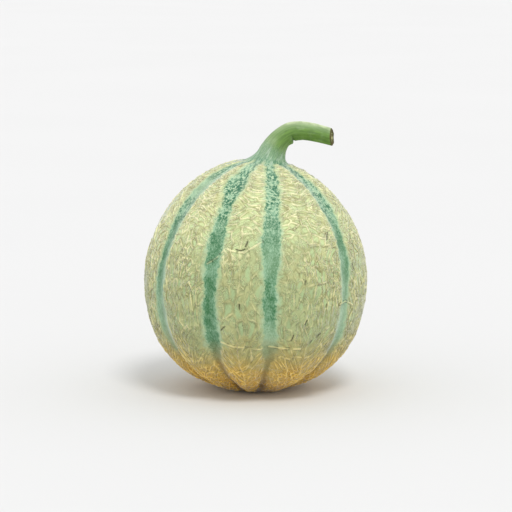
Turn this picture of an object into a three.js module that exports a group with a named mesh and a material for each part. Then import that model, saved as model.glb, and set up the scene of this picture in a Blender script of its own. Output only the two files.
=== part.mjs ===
// A netted melon, as picked: a round fruit with ten ribs and a raised net between its sutures, and a short bent
// stem.
// Millimetres, +Z up. The origin is the middle of the small flat spot that the fruit rests on.
// Longitude is measured from the side that faces -Y, towards +X. Latitude is measured from the widest circle.
import * as THREE from "three";
import { ConvexHull } from "three/addons/math/ConvexHull.js";

const DEGREE = Math.PI / 180;

// The fruit's form: its radius at the widest circle, and how far each end reaches, as a share of that radius.
const FRUIT_RADIUS = 65;
const STEM_END_REACH = 1.079;
const BLOSSOM_END_REACH = 1.007;
const STEM_END_ROUNDNESS = 1.97; // 2 is an ellipse, more is fuller
const BLOSSOM_END_ROUNDNESS = 2.2;
const LEAN = 1.8 * DEGREE; // of the fruit's axis, towards +X
const STEM_END_SLIDE = 0.05; // where the ribs meet, as a shift towards +X
const BLOSSOM_END_SLIDE = 0.025;
const PRESSED_IN = 0.6; // how far the resting spot is pushed in

// The sutures, which are the furrows between the ribs.
const SUTURES = [-92, -57.9, -24.2, 7.8, 53.7, 96.5, 130.8, 165.1, 199.4, 233.7].map((d) => d * DEGREE);
const FURROW_DEPTH = 0.8;
const FURROW_DEPTH_LOW = 1.2; // added towards the blossom end
const FURROW_HALF_WIDTH = 4.5;
const SWELL = 0.6; // how far a rib stands out between its sutures
const SWELL_LOW = 0.9;
const LOW_LATITUDE = -55 * DEGREE; // from the widest circle to here, the ribs deepen by the two low values
const END_FADE = [10 * DEGREE, 28 * DEGREE]; // from the pole; the ribs grow out of the smooth ends over this

// The net: cells of bare skin with raised cords of cork between them.
const NET_SEED = 20;
const CELL_SPACING = 7.8;
const CELL_JITTER = 0.3; // as a share of the spacing
const SUTURE_CELL_LENGTH = 9;
const SUTURE_CELL_JITTER = 0.3; // as a share of that length
const SUTURE_CLEARANCE = 5.5; // nearest middle of a net cell to a suture
const SUTURE_CLEARANCE_SHARE = 0.22; // of the rib's width, where that is less
const CORD_HEIGHT = 0.9;
const CORD_HEIGHT_AT_SUTURE = 0.5; // where the net ends beside a suture
const CORD_HALF_WIDTH = 1.35;
const SEAT_ANGLE = 10.5 * DEGREE; // half width of the stem's seat, seen from the fruit's middle
const SEAT_SUNK = 1; // how far the flat seat lies under the round form's top
const RESTING_ANGLE = 11.5 * DEGREE;
const SETTLING_ROUNDS = 2; // each moves every cell's middle to its centroid

// The stem: its middle line from the seat, and its radius along that line.
const STEM_GAP = 0.3;
const STEM_LINE = [
  [0, 0, 0],
  [1.2, 0, 3.6],
  [4.9, 0, 9.0],
  [8.6, 0, 14.3],
  [13.2, 0, 17.7],
  [19.2, -0.3, 18.8],
  [25.4, -1.3, 18.5],
  [31.2, -2.9, 17.5],
  [38.4, -5.4, 16.1],
];
const STEM_RADIUS_FOOT = 6.6;
const STEM_RADIUS_END = 4.7;
const STEM_FLARE = 4.4; // added at the seat
const STEM_FLARE_LENGTH = 3;
const STEM_TURN_LENGTH = 9; // in which the rings turn from level to square across the stem
const STEM_RIDGES = 5;
const STEM_RIDGE_DEPTH = 0.04; // as a share of the radius
const STEM_SIDES = 25;
const STEM_STATIONS = 26;
const STEM_CROWDING = 1.35; // more than 1 sets the stations closer together in the flare

const middleHeight = FRUIT_RADIUS * BLOSSOM_END_REACH - PRESSED_IN;
// Above the fruit's middle, in its own leaning frame.
const seatHeight = FRUIT_RADIUS * STEM_END_REACH - SEAT_SUNK;
const standing = new THREE.Matrix4()
  .makeTranslation(0, 0, middleHeight)
  .multiply(new THREE.Matrix4().makeRotationY(LEAN));

// Repeatable random numbers from 0 to 1.
function seededRandom(seed) {
  let state = seed;
  return () => {
    state = (state + 0x6d2b79f5) | 0;
    let t = Math.imul(state ^ (state >>> 15), 1 | state);
    t = (t + Math.imul(t ^ (t >>> 7), 61 | t)) ^ t;
    return ((t ^ (t >>> 14)) >>> 0) / 4294967296;
  };
}

// A direction from the fruit's middle.
function direction(longitude, latitude) {
  return new THREE.Vector3(
    Math.cos(latitude) * Math.sin(longitude),
    -Math.cos(latitude) * Math.cos(longitude),
    Math.sin(latitude),
  );
}

// Where a longitude lies in its rib: the share of the way from one suture to the next, and the rib's width.
function placeInRib(longitude) {
  const turn = 2 * Math.PI;
  for (let i = 0; i < SUTURES.length; i++) {
    const width = (((SUTURES[(i + 1) % SUTURES.length] - SUTURES[i]) % turn) + turn) % turn;
    const past = (((longitude - SUTURES[i]) % turn) + turn) % turn;
    if (past < width) return { share: past / width, width };
  }
  return { share: 0, width: turn / SUTURES.length };
}

// Distances along the skin: from a direction to the nearest suture, and across the rib there.
function distancesInRib(towards) {
  const { share, width } = placeInRib(Math.atan2(towards.x, -towards.y));
  const ribWidth = width * Math.hypot(towards.x, towards.y) * FRUIT_RADIUS;
  return { toSuture: Math.min(share, 1 - share) * ribWidth, ribWidth };
}

// How far the skin lies under the full round form, by the swelling across a rib and the furrow along a suture.
function sinkOfSkin(towards) {
  const { share } = placeInRib(Math.atan2(towards.x, -towards.y));
  const latitude = Math.asin(THREE.MathUtils.clamp(towards.z, -1, 1));
  const fade = THREE.MathUtils.smoothstep(Math.PI / 2 - Math.abs(latitude), ...END_FADE);
  const low = THREE.MathUtils.smoothstep(latitude / LOW_LATITUDE, 0, 1);
  const swell = (SWELL + SWELL_LOW * low) * Math.cos(Math.PI * share) ** 2;
  const furrow = FURROW_DEPTH + FURROW_DEPTH_LOW * low;
  const across = distancesInRib(towards).toSuture / FURROW_HALF_WIDTH;
  return fade * (swell + furrow * Math.exp(-across * across));
}

// The point of the skin in a direction, lifted by raise. The round form is a superellipsoid for each half.
function skinPoint(towards, raise = 0) {
  const topShare = Math.max(towards.z, 0) ** 2;
  const bottomShare = Math.max(-towards.z, 0) ** 2;
  const slid = towards.clone();
  slid.x += STEM_END_SLIDE * topShare + BLOSSOM_END_SLIDE * bottomShare;
  slid.normalize();
  const power = slid.z > 0 ? STEM_END_ROUNDNESS : BLOSSOM_END_ROUNDNESS;
  const reach = slid.z > 0 ? STEM_END_REACH : BLOSSOM_END_REACH;
  const round = Math.hypot(slid.x, slid.y) ** power + (Math.abs(slid.z) / reach) ** power;
  const radius = FRUIT_RADIUS * round ** (-1 / power);
  return slid.multiplyScalar(radius - sinkOfSkin(towards) + raise);
}

// The middles of the cells: a row along each suture, and an even spiral of jittered ones between them.
function cellMiddles() {
  const random = seededRandom(NET_SEED);
  const cells = [
    { towards: new THREE.Vector3(0, 0, 1), kind: "seat" },
    { towards: new THREE.Vector3(0, 0, -1), kind: "resting" },
  ];
  const first = -Math.PI / 2 + 2 * RESTING_ANGLE;
  const last = Math.PI / 2 - 2 * SEAT_ANGLE;
  const steps = Math.round(((last - first) * FRUIT_RADIUS) / SUTURE_CELL_LENGTH);
  for (const suture of SUTURES) {
    for (let i = 0; i <= steps; i++) {
      const uneven = i > 0 && i < steps ? SUTURE_CELL_JITTER * (random() - 0.5) : 0;
      const latitude = first + ((last - first) * (i + uneven)) / steps;
      cells.push({ towards: direction(suture, latitude), kind: "suture" });
    }
  }
  const count = Math.round((4 * Math.PI * FRUIT_RADIUS ** 2) / CELL_SPACING ** 2);
  const goldenAngle = Math.PI * (3 - Math.sqrt(5));
  for (let i = 0; i < count; i++) {
    const towards = direction(i * goldenAngle, Math.asin(1 - (2 * i + 1) / count));
    const jitter = new THREE.Vector3(random() - 0.5, random() - 0.5, random() - 0.5);
    towards.addScaledVector(jitter, (2 * CELL_JITTER * CELL_SPACING) / FRUIT_RADIUS).normalize();
    const latitude = Math.asin(towards.z);
    const { toSuture, ribWidth } = distancesInRib(towards);
    const clear = toSuture > Math.min(SUTURE_CLEARANCE, SUTURE_CLEARANCE_SHARE * ribWidth);
    if (clear && latitude > first && latitude < last) cells.push({ towards, kind: "net" });
  }
  return cells;
}

// Gives each cell its corners in order. The convex hull of the cells' middles joins neighbours, and each of
// its faces points at the corner where three cells meet.
function findCorners(cells) {
  const indexOf = new Map(cells.map((cell, i) => [cell.towards, i]));
  const hull = new ConvexHull().setFromPoints(cells.map((cell) => cell.towards));
  for (const cell of cells) cell.corners = [];
  for (const face of hull.faces) {
    const owners = [0, 1, 2].map((i) => indexOf.get(face.getEdge(i).head().point));
    const corner = { towards: face.normal.clone().normalize(), owners };
    for (const owner of owners) cells[owner].corners.push(corner);
  }
  for (const cell of cells) {
    const aside = new THREE.Vector3(0.3, 0.5, 0.81).cross(cell.towards).normalize();
    const ahead = cell.towards.clone().cross(aside);
    for (const corner of cell.corners) {
      corner.turn = Math.atan2(corner.towards.dot(ahead), corner.towards.dot(aside));
    }
    cell.corners.sort((a, b) => a.turn - b.turn);
  }
}

// Moves the middle of each net cell to the middle of its corners, which evens out the cells.
function settle(cells) {
  for (let round = 0; round < SETTLING_ROUNDS; round++) {
    findCorners(cells);
    for (const cell of cells.filter((c) => c.kind === "net")) {
      const middle = new THREE.Vector3();
      for (const corner of cell.corners) middle.add(corner.towards);
      cell.towards.copy(middle.normalize());
    }
  }
  findCorners(cells);
}

// The fruit's skin as triangles. A net cell is a ring of cord flanks round a bare floor. A cell on a suture is
// a plain fan, with one more corner where the suture runs into the next cell.
function fruitGeometry() {
  const cells = cellMiddles();
  settle(cells);
  const positions = [];

  function stand(point, cell) {
    if (cell.kind === "seat") point.z = seatHeight;
    point.z = Math.min(point.z, seatHeight);
    point.applyMatrix4(standing);
    if (cell.kind === "resting") point.z = 0;
    point.z = Math.max(point.z, 0);
    return point;
  }
  function owningEnd(corner) {
    return corner.owners.map((i) => cells[i]).find((c) => c.kind === "seat" || c.kind === "resting");
  }
  function crest(corner) {
    const inNet = corner.owners.filter((i) => cells[i].kind === "net").length;
    const height = { 3: CORD_HEIGHT, 2: CORD_HEIGHT_AT_SUTURE }[inNet] ?? 0;
    return stand(skinPoint(corner.towards, height), owningEnd(corner) ?? cells[corner.owners[0]]);
  }
  function triangle(a, b, c) {
    positions.push(...a.toArray(), ...b.toArray(), ...c.toArray());
  }

  for (const [index, cell] of cells.entries()) {
    const middle = stand(skinPoint(cell.towards), cell);
    const floorCorner = (corner) => {
      const inward = cell.towards.clone().sub(corner.towards);
      const step = Math.min(CORD_HALF_WIDTH / (inward.length() * FRUIT_RADIUS), 0.5);
      return stand(skinPoint(corner.towards.clone().addScaledVector(inward, step).normalize()), cell);
    };
    cell.corners.forEach((corner, i) => {
      const next = cell.corners[(i + 1) % cell.corners.length];
      const neighbour = corner.owners.find((owner) => owner !== index && next.owners.includes(owner));
      const outerA = crest(corner);
      const outerB = crest(next);
      if (cell.kind === "net") {
        const innerA = floorCorner(corner);
        const innerB = floorCorner(next);
        triangle(outerA, outerB, innerB);
        triangle(outerA, innerB, innerA);
        triangle(innerA, innerB, middle);
      } else if (cell.kind === "suture" && cells[neighbour].kind === "suture") {
        const between = corner.towards.clone().add(next.towards).normalize();
        const crossing = stand(skinPoint(between), cell);
        triangle(outerA, crossing, middle);
        triangle(crossing, outerB, middle);
      } else {
        triangle(outerA, outerB, middle);
      }
    });
  }
  return new THREE.BufferGeometry().setAttribute("position", new THREE.Float32BufferAttribute(positions, 3));
}

// The stem's skin as triangles: rings round the middle line, with a flat foot and a flat cut end.
function stemGeometry() {
  const points = STEM_LINE.map((p) => new THREE.Vector3(...p));
  const line = new THREE.CatmullRomCurve3(points, false, "centripetal");
  const length = line.getLength();
  const across = new THREE.Vector3(0, 1, 0);
  const rings = [];
  for (let i = 0; i <= STEM_STATIONS; i++) {
    const share = (i / STEM_STATIONS) ** STEM_CROWDING;
    const middle = line.getPointAt(share);
    const turned = THREE.MathUtils.smoothstep(share * length, 0, STEM_TURN_LENGTH);
    const along = new THREE.Vector3(0, 0, 1).lerp(line.getTangentAt(share), turned).normalize();
    const side = along.clone().cross(across).normalize();
    const depth = side.clone().cross(along);
    const flare = STEM_FLARE * Math.exp((-share * length) / STEM_FLARE_LENGTH);
    const radius = THREE.MathUtils.lerp(STEM_RADIUS_FOOT, STEM_RADIUS_END, Math.sqrt(share)) + flare;
    const ring = [];
    for (let j = 0; j < STEM_SIDES; j++) {
      const angle = (j / STEM_SIDES) * 2 * Math.PI;
      const r = radius * (1 + STEM_RIDGE_DEPTH * Math.cos(STEM_RIDGES * angle));
      ring.push(
        middle
          .clone()
          .addScaledVector(side, -r * Math.cos(angle))
          .addScaledVector(depth, r * Math.sin(angle)),
      );
    }
    rings.push({ middle, ring });
  }
  const positions = [];
  const triangle = (a, b, c) => positions.push(...a.toArray(), ...b.toArray(), ...c.toArray());
  for (let j = 0; j < STEM_SIDES; j++) {
    const k = (j + 1) % STEM_SIDES;
    for (let i = 0; i < STEM_STATIONS; i++) {
      const low = rings[i].ring;
      const high = rings[i + 1].ring;
      triangle(low[j], low[k], high[k]);
      triangle(low[j], high[k], high[j]);
    }
    triangle(rings[0].middle, rings[0].ring[k], rings[0].ring[j]);
    triangle(rings[STEM_STATIONS].middle, rings[STEM_STATIONS].ring[j], rings[STEM_STATIONS].ring[k]);
  }
  const geometry = new THREE.BufferGeometry().setAttribute(
    "position",
    new THREE.Float32BufferAttribute(positions, 3),
  );
  const seatMiddle = skinPoint(new THREE.Vector3(0, 0, 1));
  geometry.translate(seatMiddle.x, 0, seatHeight + STEM_GAP);
  return geometry.applyMatrix4(standing);
}

function piece(name, geometry, color, roughness) {
  geometry.computeVertexNormals();
  const mesh = new THREE.Mesh(geometry, new THREE.MeshStandardMaterial({ color, roughness, metalness: 0 }));
  mesh.name = name;
  return mesh;
}

const melon = new THREE.Group();
melon.add(piece("fruit", fruitGeometry(), 0xc9c98c, 0.62));
melon.add(piece("stem", stemGeometry(), 0x7d9f5c, 0.55));

export default melon;
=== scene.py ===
"""A ribbed, netted melon with a bent stem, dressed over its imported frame.

Lengths are in metres and angles in radians, and +Z is up. Longitude is measured from -Y towards +X, polar
is the angle from the stem end, and along is the way down the skin from the stem end.
"""

import itertools

import bpy
import numpy as np
from bpy.props import FloatProperty, FloatVectorProperty, IntProperty, PointerProperty
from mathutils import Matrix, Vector


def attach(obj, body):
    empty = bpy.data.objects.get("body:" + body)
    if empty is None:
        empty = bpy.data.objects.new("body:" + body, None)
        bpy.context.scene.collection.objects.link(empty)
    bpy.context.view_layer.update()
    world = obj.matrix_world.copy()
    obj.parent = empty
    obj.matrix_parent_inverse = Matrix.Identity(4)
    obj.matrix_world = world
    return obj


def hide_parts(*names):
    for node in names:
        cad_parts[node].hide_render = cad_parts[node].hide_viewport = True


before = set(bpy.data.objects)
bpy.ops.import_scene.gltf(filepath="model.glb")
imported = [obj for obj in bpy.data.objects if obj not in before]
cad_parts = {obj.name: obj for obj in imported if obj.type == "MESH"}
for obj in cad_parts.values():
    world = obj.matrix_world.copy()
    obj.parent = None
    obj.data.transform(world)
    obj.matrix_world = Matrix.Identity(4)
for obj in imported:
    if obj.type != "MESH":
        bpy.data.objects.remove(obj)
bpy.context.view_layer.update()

bl_info = {
    "name": "Netted melon",
    "version": (1, 0, 0),
    "blender": (4, 5, 0),
    "location": "3D View > Sidebar > Melon",
    "description": "Makes a ribbed, netted melon with its blossom scar and stem, and a plain stage",
    "category": "Add Mesh",
}

MM = 0.001
FULL_TURN = 2 * np.pi

# The sutures' longitudes. The first four, from the second on, face the camera.
SUTURES = np.radians([-92.0, -57.9, -24.2, 7.8, 53.7, 96.5, 130.8, 165.1, 199.4, 233.7])
RIB_WIDTHS = np.diff(np.append(SUTURES, SUTURES[0] + FULL_TURN))

# The fruit's round form.
STEM_END_ROUNDNESS = 1.97
BLOSSOM_END_ROUNDNESS = 2.2
STEM_END_SLIDE = 0.05
BLOSSOM_END_SLIDE = 0.025
PRESSED_IN = 0.6 * MM
FURROW_HALF_WIDTH = 4.5 * MM
LOW_POLAR = np.radians(145.0)
END_FADE = np.radians([10.0, 28.0])
TOP_POLAR = np.radians(10.5)
LAST_POLAR = np.radians(172.0)


def colour_property(name, description, default):
    """A colour given as red, green and blue from 0 to 255, as a picture shows it."""
    shown = np.array(default) / 255.0
    linear = np.where(shown <= 0.04045, shown / 12.92, ((shown + 0.055) / 1.055) ** 2.4)
    return FloatVectorProperty(
        name=name, description=description, default=tuple(linear), size=3, min=0.0, max=1.0, subtype="COLOR"
    )


def number_property(name, description, default):
    """A plain number."""
    return FloatProperty(name=name, description=description, default=default)


def count_property(name, description, default, least):
    """A whole number with a lowest value."""
    return IntProperty(name=name, description=description, default=default, min=least)


def length_property(name, description, default_mm):
    """A length given in millimetres."""
    return FloatProperty(name=name, description=description, default=default_mm * MM, min=0.0, unit="LENGTH")


def angle_property(name, description, default_degrees):
    """An angle given in degrees."""
    default = np.radians(default_degrees)
    return FloatProperty(name=name, description=description, default=default, unit="ROTATION")


class MelonFruitSettings(bpy.types.PropertyGroup):
    """The fruit's form."""

    radius: length_property("Radius", "Radius at the widest circle", 65.0)
    stem_end_reach: number_property("Stem end", "Reach of the stem end, in radii", 1.079)
    blossom_end_reach: number_property("Blossom end", "Reach of the other end, in radii", 1.007)
    lean: angle_property("Lean", "Lean of the fruit's axis towards +X", 1.8)
    furrow_depth: length_property("Furrow depth", "Depth of a suture's furrow", 0.8)
    furrow_depth_low: length_property("Furrow depth low down", "Depth added towards the blossom end", 1.2)
    swell: length_property("Swell", "How far a rib stands out between its sutures", 0.6)
    swell_low: length_property("Swell low down", "Swell added towards the blossom end", 0.9)
    columns: count_property("Columns", "Faces around the whole fruit", 1050, 100)
    rows: count_property("Rows", "Faces from the stem end to the blossom end", 430, 40)
    scar_radius: length_property("Scar radius", "Radius of the blossom scar", 10.0)


class MelonNetSettings(bpy.types.PropertyGroup):
    """The raised net of cork and the stripes along the sutures."""

    seed: IntProperty(name="Seed", description="Picks the net", default=7)
    cord_height: length_property("Cord height", "Height of the tallest cords over the skin", 0.78)
    cord_half_width: length_property("Cord half width", "Half of a cord's width", 0.54)
    jitter: FloatProperty(name="Jitter", description="Unevenness of the cells", default=0.9, min=0.0, max=1.0)
    stripe_half_width: length_property("Stripe half width", "Half of a stripe's width, with margins", 4.25)
    stripe_wander: length_property("Stripe wander", "How far a stripe strays from its suture", 0.9)


class MelonStemSettings(bpy.types.PropertyGroup):
    """The stem's form."""

    foot_radius: length_property("Foot radius", "Radius of the neck over its flare", 8.15)
    end_radius: length_property("End radius", "Radius at the cut end", 4.85)
    flare_reach: angle_property("Flare reach", "How far the flare runs down the skin, as a polar angle", 12.5)
    ridge_depth: number_property("Ridge depth", "Depth of the ridges, in radii", 0.045)
    crease_depth: length_property("Crease depth", "Depth of the fold inside the bend", 0.9)
    sides: count_property("Sides", "Faces round the stem", 96, 12)


class MelonColourSettings(bpy.types.PropertyGroup):
    """The colours of the rind and the stem."""

    cork_high: colour_property("Cork, high", "Net near the stem", (238, 234, 188))
    cork_middle: colour_property("Cork, middle", "Net at the widest circle", (212, 208, 152))
    cork_low: colour_property("Cork, low", "Net near the blossom end", (244, 206, 102))
    cover_high: colour_property("Cover, high", "Thin cork between the cords near the stem", (204, 208, 152))
    cover_middle: colour_property("Cover, middle", "Thin cork at the widest circle", (180, 184, 128))
    cover_low: colour_property("Cover, low", "Thin cork near the blossom end", (206, 158, 38))
    skin_high: colour_property("Skin, high", "Bare skin near the stem", (196, 218, 160))
    skin_middle: colour_property("Skin, middle", "Bare skin at the widest circle", (164, 188, 136))
    skin_low: colour_property("Skin, low", "Bare skin near the blossom end", (198, 150, 28))
    stripe_dark: colour_property("Stripe, dark", "Dark flecks of the stripes", (54, 112, 66))
    stripe_deep: colour_property("Stripe, deep", "Dark flecks near the stem", (42, 108, 78))
    stripe_light: colour_property("Stripe, light", "Ground of the stripes", (138, 178, 144))
    stripe_margin: colour_property("Stripe margin", "Pale margin of the stripes", (170, 200, 166))
    margin_high: colour_property("Stripe margin, high", "Pale margin near the stem", (198, 220, 180))
    # Low down, the furrow colour is also the seam colour, and so also painted shade at the cords' feet.
    furrow_low: colour_property("Low furrow", "The sutures low down", (132, 106, 34))
    furrow_last: colour_property("Last furrow", "The sutures beside the floor", (96, 68, 18))
    # The seam colours are the real seams' colour, and also painted shade at the cords' feet and beside the
    # fine strands.
    edge_high: colour_property("Seams, high", "Seams and feet of the cords near the stem", (138, 136, 84))
    edge: colour_property("Seams", "Seams and feet of the cords", (100, 102, 56))
    crack: colour_property("Crack", "Cracks along the cords", (62, 58, 28))
    stem_green: colour_property("Stem", "The stem's green", (104, 142, 58))
    # The dark stem green is also painted shade in the fold inside the bend.
    stem_dark: colour_property("Stem, dark", "The green of its furrows and folds", (66, 100, 38))
    # The bloom colour is real on the neck, and also a painted highlight along the top of the arm.
    stem_bloom: colour_property("Stem bloom", "Grey-green bloom on its neck", (172, 194, 154))
    # A painted highlight: the pale upper side of the stem's arm.
    stem_painted_highlight: colour_property("Stem, light", "The pale upper side of its arm", (222, 232, 188))
    stem_foot: colour_property("Stem foot", "Blue-green of the foot round the stem", (122, 158, 132))
    stem_streak: colour_property("Stem streaks", "Pale streaks round its foot", (206, 222, 204))
    cut_rim: colour_property("Cut rim", "Dried rim of the cut end", (84, 76, 38))
    pith: colour_property("Pith", "Inside of the cut end", (196, 198, 140))


class MelonStageSettings(bpy.types.PropertyGroup):
    """The floor, the lights and the camera."""

    floor_radius: length_property("Floor radius", "Radius of the floor", 12000.0)
    camera_distance: length_property("Camera distance", "From the camera to the fruit's middle", 1300.0)
    camera_height: angle_property("Camera height", "The camera's angle above level", 9.0)
    frame_width: length_property("Frame width", "Width of the picture at the fruit", 299.5)
    sky: number_property("Sky", "Strength of the light from all round", 0.92)
    overhead: number_property("Overhead light", "Strength of the soft light overhead", 1.2)
    softness: angle_property("Softness", "How wide the overhead light is", 18.0)


def smooth_step(low, high, value):
    """0 below low, 1 above high, and 3t² - 2t³ of the share t between. High may be the lower number."""
    t = np.clip((value - low) / (high - low), 0.0, 1.0)
    return t * t * (3.0 - 2.0 * t)


def bell(value, middle, spread):
    """A bell curve, 1 at its middle."""
    return np.exp(-(((value - middle) / spread) ** 2))


def rounded(distance, half_width):
    """The height of a rounded cord: (1 - t²)^1.5 of the distance t from its middle, in half widths."""
    return np.clip(1.0 - (distance / half_width) ** 2, 0.0, 1.0) ** 1.5


def lattice_random(seed, *cells):
    """A repeatable number from 0 to 1 for each cell of a lattice.

    Each whole number is mixed into a running one by exclusive or, a multiplication by a large odd number,
    and by folding the high bits into the low ones.
    """
    mixed = np.full(np.broadcast(*cells).shape, seed * 2654435761 % 2**32, np.uint32)
    for cell in cells:
        mixed = (mixed ^ np.asarray(cell).astype(np.int64).astype(np.uint32)) * np.uint32(0x9E3779B1)
        mixed ^= mixed >> np.uint32(15)
        mixed = mixed * np.uint32(0x85EBCA6B)
        mixed ^= mixed >> np.uint32(13)
    return mixed / 2.0**32


def smooth_noise(seed, *places):
    """Noise from -1 to 1 with features one unit wide: random values on whole numbers, mixed by 3t² - 2t³."""
    places = np.broadcast_arrays(*places)
    lows = [np.floor(place) for place in places]
    shares = [smooth_step(0.0, 1.0, place - low) for place, low in zip(places, lows)]
    total = np.zeros(places[0].shape)
    for corner in itertools.product((0, 1), repeat=len(places)):
        weight = np.ones(places[0].shape)
        for share, side in zip(shares, corner):
            weight *= share if side else 1.0 - share
        total += weight * lattice_random(seed, *(low + side for low, side in zip(lows, corner)))
    return 2.0 * total - 1.0


def surface_noise(seed, place, size):
    """Smooth noise in space, with features of this size, at places given as an array of points."""
    return smooth_noise(seed, *(place[..., axis] / size for axis in range(3)))


def heading(longitude, polar):
    """The direction from the fruit's middle, in its own leaning frame."""
    longitude, polar = np.broadcast_arrays(longitude, polar)
    level = np.sin(polar)
    return np.stack([level * np.sin(longitude), -level * np.cos(longitude), np.cos(polar)], axis=-1)


def middle_height(fruit):
    """The height of the fruit's middle over the floor."""
    return fruit.radius * fruit.blossom_end_reach - PRESSED_IN


def stand(fruit, points):
    """Turns points from the fruit's leaning frame by its lean, and lifts its middle over the floor."""
    x, y, z = points[..., 0], points[..., 1], points[..., 2]
    cosine, sine = np.cos(fruit.lean), np.sin(fruit.lean)
    return np.stack([x * cosine + z * sine, y, z * cosine - x * sine + middle_height(fruit)], axis=-1)


def skin_points(fruit, longitude, polar, raised):
    """Points of the skin, raised by a height.

    The heading slides towards +X by the slide times the square of its own height at either end. The radius
    along it is that of a superellipsoid: R (level^n + |height / reach|^n)^(-1/n).
    """
    slid = heading(longitude, polar)
    height = slid[..., 2].copy()
    slid[..., 0] += np.where(height > 0, STEM_END_SLIDE, BLOSSOM_END_SLIDE) * height**2
    slid /= np.linalg.norm(slid, axis=-1, keepdims=True)
    upper = slid[..., 2] > 0
    power = np.where(upper, STEM_END_ROUNDNESS, BLOSSOM_END_ROUNDNESS)
    reach = np.where(upper, fruit.stem_end_reach, fruit.blossom_end_reach)
    level = np.hypot(slid[..., 0], slid[..., 1])
    radius = fruit.radius * (level**power + np.abs(slid[..., 2] / reach) ** power) ** (-1.0 / power)
    points = stand(fruit, slid * (radius + raised)[..., None])
    points[..., 2] = np.maximum(points[..., 2], 0.0)
    return points


def rib_sink(fruit, share, polar, to_suture):
    """How far the skin lies under the round form: a rib's swelling by cos², and a furrow by a bell curve."""
    fade = smooth_step(*END_FADE, np.minimum(polar, np.pi - polar))
    low = smooth_step(np.pi / 2, LOW_POLAR, polar)
    swell = (fruit.swell + fruit.swell_low * low) * np.cos(np.pi * share) ** 2
    furrow = (fruit.furrow_depth + fruit.furrow_depth_low * low) * bell(to_suture, 0.0, FURROW_HALF_WIDTH)
    return fade * (swell + furrow)


# Single stripes' own features: the suture, the polar angle in degrees, how much, and over how many degrees.
# How much wider a stripe is, in millimetres.
STRIPE_SWELLS = (
    (3, 66.0, 1.7, 13.0),
    (3, 84.0, -1.0, 6.0),
    (3, 104.0, 0.4, 12.0),
    (2, 72.0, 1.2, 14.0),
    (2, 34.0, 1.0, 9.0),
    (4, 45.0, 0.6, 12.0),
    (0, 54.0, 1.2, 22.0),
)
# How far a stripe strays from its suture, in millimetres.
STRIPE_DRIFTS = ((0, 54.0, 6.5, 24.0),)
# How much darker a stretch of a stripe is.
STRIPE_TONES = (
    (2, 94.0, 0.1, 14.0),
    (2, 25.0, 0.02, 12.0),
    (3, 93.0, 0.1, 9.0),
    (3, 74.0, -0.05, 10.0),
    (3, 114.0, -0.12, 12.0),
    (1, 35.0, -0.14, 8.0),
    (1, 74.0, 0.02, 18.0),
    (1, 114.0, -0.1, 24.0),
    (4, 104.0, -0.11, 22.0),
    (0, 54.0, 0.12, 30.0),
)
FLECK_MARKS = ("fleck_x", "fleck_y", "fleck_z")
FLECK_STRETCH = 1.7
FLECK_LEAST = 0.42
RIND_MARKS = (
    *("net", "net_x", "net_y", "cord", "seam", "crack", "bare", "quiet"),
    *("stripe", "tone", "margin", "collar"),
)
STRIPE_EDGE = (-1.8 * MM, 3.2 * MM)
MARGIN_EDGE = (-2.8 * MM, 0.2 * MM)
NET_EDGE = (0.9 * MM, -1.3 * MM)
NET_CREEP = 1.3 * MM
STRIPE_FADE = np.radians([114.0, 134.0])
STRIPE_NARROWED = 0.5
TOP_NARROWED = 0.3
TOP_FADE = np.radians([32.0, 14.0])
COLLAR = np.radians([15.0, 11.0])
COLLAR_UNEVEN = np.radians(1.0)
RIB_TIP = np.radians(2.6)


def bells(table, suture, polar):
    """The sum of the table's bell curves over the polar angle that belong to one suture."""
    total = 0.0 * polar
    for number, where, much, over in table:
        if number == suture:
            total = total + much * bell(np.degrees(polar), where, over)
    return total


def stripe_depth(net, suture, beside, polar, along, place):
    """How far inside the edge of a suture's stripe a place is: negative outside it.

    The stripe's middle wanders by two noises along the suture, its half width varies by another and narrows
    towards both ends, and two noises over the skin make its edge ragged.
    """
    seed = net.seed * 100 + suture
    wander = net.stripe_wander * (
        smooth_noise(seed, along / (34 * MM)) + 0.5 * smooth_noise(seed + 20, along / (12 * MM))
    )
    wander = wander + bells(STRIPE_DRIFTS, suture, polar) * MM
    half = net.stripe_half_width + 0.8 * MM * smooth_noise(seed + 40, along / (17 * MM))
    half = half + bells(STRIPE_SWELLS, suture, polar) * MM
    half = half * (1.0 - STRIPE_NARROWED * smooth_step(*STRIPE_FADE, polar))
    half = half * (1.0 - TOP_NARROWED * smooth_step(*TOP_FADE, polar))
    ragged = 0.75 * MM * surface_noise(seed + 60, place, 2.6 * MM)
    ragged = ragged + 0.45 * MM * surface_noise(seed + 80, place, 1.1 * MM)
    return half + ragged - np.abs(beside - wander)


# Where the net's ridges near the stem end, and where its long meshes low down begin.
NET_UPPER = np.radians([74.0, 46.0])
NET_LOWER = np.radians([112.0, 135.0])
# How wide and long the net's cells are, from the stem end to the blossom end.
CELL_POLAR = np.radians([12.0, 45.0, 72.0, 108.0, 132.0, 172.0])
CELL_WIDTH = np.array([6.0, 7.2, 3.9, 3.5, 2.7, 2.4]) * MM
CELL_LENGTH = np.array([1.9, 2.2, 4.8, 5.6, 6.2, 5.5]) * MM
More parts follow.
